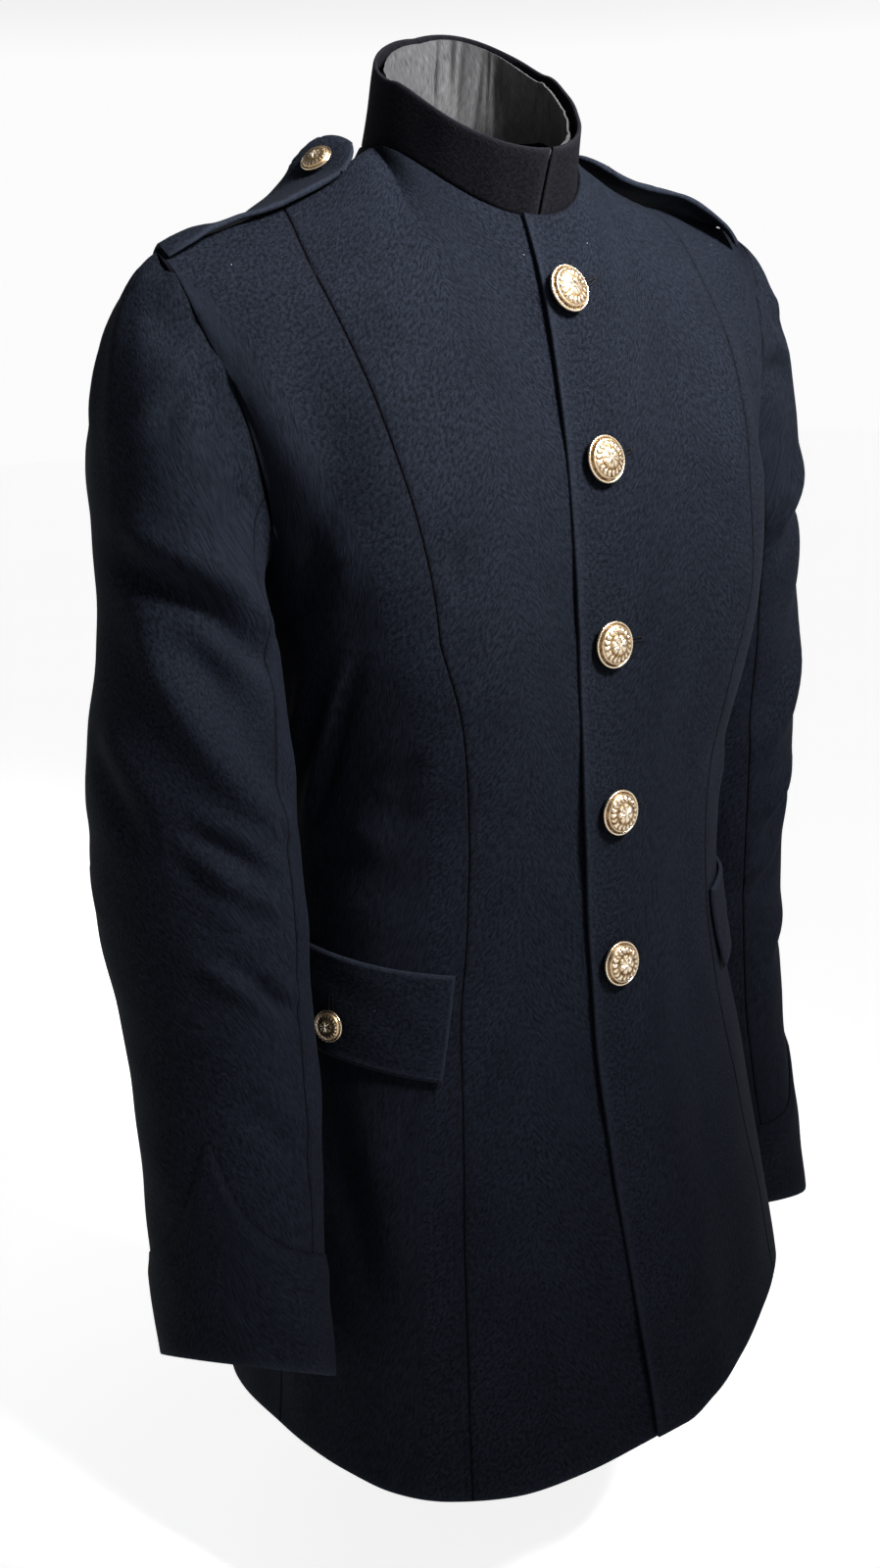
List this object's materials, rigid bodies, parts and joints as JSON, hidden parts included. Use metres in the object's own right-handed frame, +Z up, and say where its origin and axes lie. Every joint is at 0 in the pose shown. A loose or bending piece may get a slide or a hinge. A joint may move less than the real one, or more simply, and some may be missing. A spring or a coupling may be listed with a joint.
{
  "type": "military dress tunic",
  "caption": "Fitted dark navy military dress tunic with stand collar, shoulder straps, princess seams, hip flaps, pointed cuffs and domed gilt buttons, filled out as worn.",
  "frame": {"origin": "the middle of the neck opening, at the height where the shoulder seams meet the collar", "axes": "+Z up along the body, +X towards the wearer's left, the front faces -Y"},
  "size_m": [0.5398, 0.2931, 0.7779],
  "materials": {
    "navy_barathea": "matt twilled wool",
    "black_satin": "satin",
    "gilt_brass": "polished gilt"
  },
  "bodies": {
    "root": {"front_left": "navy_barathea", "side_front_left": "navy_barathea", "back_left": "navy_barathea", "sleeve_top_left": "navy_barathea", "sleeve_under_left": "navy_barathea", "cuff_left": "navy_barathea", "strap_left": "navy_barathea", "flap_left": "navy_barathea", "front_right": "navy_barathea", "side_front_right": "navy_barathea", "back_right": "navy_barathea", "sleeve_top_right": "navy_barathea", "sleeve_under_right": "navy_barathea", "cuff_right": "navy_barathea", "strap_right": "navy_barathea", "flap_right": "navy_barathea", "collar": "navy_barathea", "collar_lining": "black_satin", "button_front_1": "gilt_brass", "button_front_2": "gilt_brass", "button_front_3": "gilt_brass", "button_front_4": "gilt_brass", "button_front_5": "gilt_brass", "button_strap_left": "gilt_brass", "button_flap_left": "gilt_brass", "button_strap_right": "gilt_brass", "button_flap_right": "gilt_brass"}
  },
  "joints": []
}
